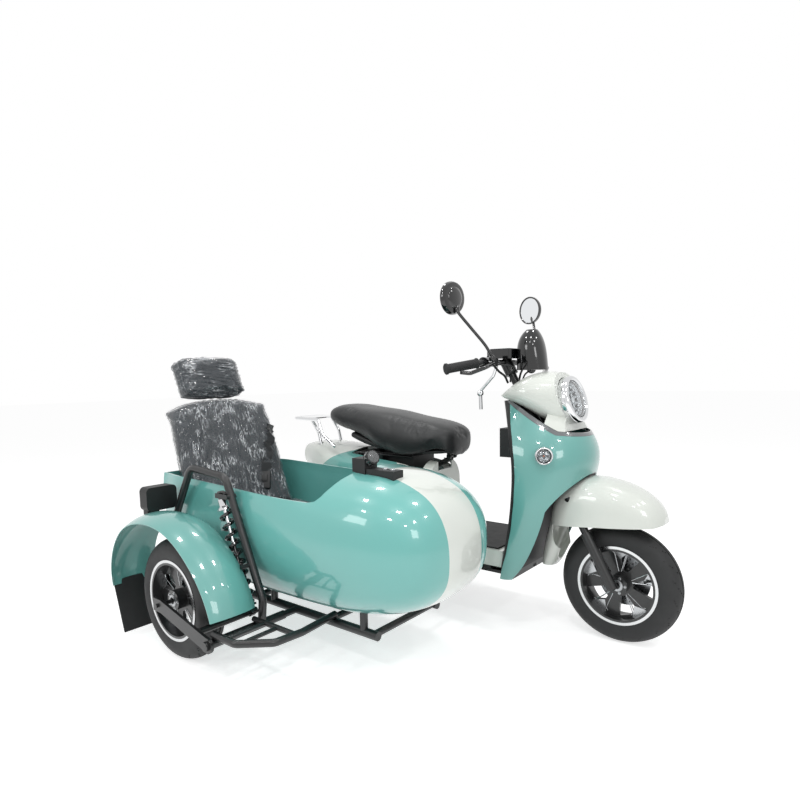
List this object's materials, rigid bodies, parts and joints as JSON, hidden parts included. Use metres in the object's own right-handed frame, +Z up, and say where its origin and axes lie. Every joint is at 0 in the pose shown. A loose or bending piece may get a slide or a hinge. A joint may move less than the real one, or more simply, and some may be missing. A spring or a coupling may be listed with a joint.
{
  "type": "electric tricycle",
  "caption": "Retro electric scooter with an open single-seat sidecar on its right; rolling wheels, steering fork and lifting saddle.",
  "frame": {"origin": "on the floor below the middle of the vehicle's outer box", "axes": "+X forward, +Y to the rider's left, +Z up; the sidecar is on the -Y side"},
  "size_m": [1.8409, 1.4558, 1.283],
  "materials": {
    "teal_paint": "gloss paint",
    "white_paint": "gloss paint",
    "black_frame": "satin black",
    "black_plastic": "matt",
    "gloss_black": "gloss",
    "grey_trim": "satin",
    "chrome": "bright",
    "steel": "brushed",
    "aluminium": "dark cast",
    "tyre": "matt",
    "rubber": "matt",
    "vinyl": "satin",
    "seat_cloth": "wrapped in clear film",
    "lamp_glass": "clear",
    "red_lens": "translucent red"
  },
  "bodies": {
    "frame": {"main_frame": "black_frame", "leg_shield": "teal_paint", "inner_panel": "black_plastic", "nacelle": "white_paint", "front_lamps": "chrome", "lens_strip": "grey_trim", "floor_sill": "white_paint", "floor_mat": "rubber", "battery": "black_plastic", "side_covers": "teal_paint", "rear_cowl": "white_paint", "seat_bucket": "black_plastic", "tail_lamp": "red_lens", "luggage_rack": "chrome", "rear_arm": "black_frame", "rear_fender": "black_plastic", "shock_absorbers": "black_frame", "sidecar_body": "teal_paint", "seat_cushion": "seat_cloth", "seat_backrest": "seat_cloth", "headrest": "seat_cloth", "control_box": "gloss_black", "sidecar_frame": "black_frame", "sidecar_fender": "teal_paint", "fender_lamp": "gloss_black", "mud_flap": "rubber", "sidecar_arm": "black_frame", "step_frame": "black_frame"},
    "steering": {"front_fork": "black_frame", "front_fender": "white_paint", "handlebar": "black_frame", "grips": "rubber", "brake_levers": "gloss_black", "mirrors": "gloss_black", "instrument": "gloss_black", "parking_lever": "chrome"},
    "front_wheel": {"front_tyre": "tyre", "front_rim": "aluminium", "front_brake_disc": "steel"},
    "rear_wheel": {"rear_tyre": "tyre", "rear_rim": "aluminium"},
    "sidecar_wheel": {"sidecar_tyre": "tyre", "sidecar_rim": "aluminium"},
    "saddle": {"saddle": "vinyl", "saddle_pan": "black_plastic"}
  },
  "joints": [
    {"name": "steering", "type": "hinge", "parent": "frame", "child": "steering", "pos_m": [0.67911, 0.3769, 0.19592], "axis": [-0.4695, 0, 0.8829], "range_deg": [-30, 30]},
    {"name": "front_wheel_spin", "type": "hinge", "parent": "steering", "child": "front_wheel", "pos_m": [0.7056, 0.3769, 0.21], "axis": [0, 1, 0], "continuous": true},
    {"name": "rear_wheel_spin", "type": "hinge", "parent": "frame", "child": "rear_wheel", "pos_m": [-0.5644, 0.3769, 0.21], "axis": [0, 1, 0], "continuous": true},
    {"name": "sidecar_wheel_spin", "type": "hinge", "parent": "frame", "child": "sidecar_wheel", "pos_m": [-0.4524, -0.6311, 0.21], "axis": [0, 1, 0], "continuous": true},
    {"name": "saddle_hinge", "type": "hinge", "parent": "frame", "child": "saddle", "pos_m": [-0.0094, 0.3769, 0.616], "axis": [0, 1, 0], "range_deg": [0, 75]}
  ]
}
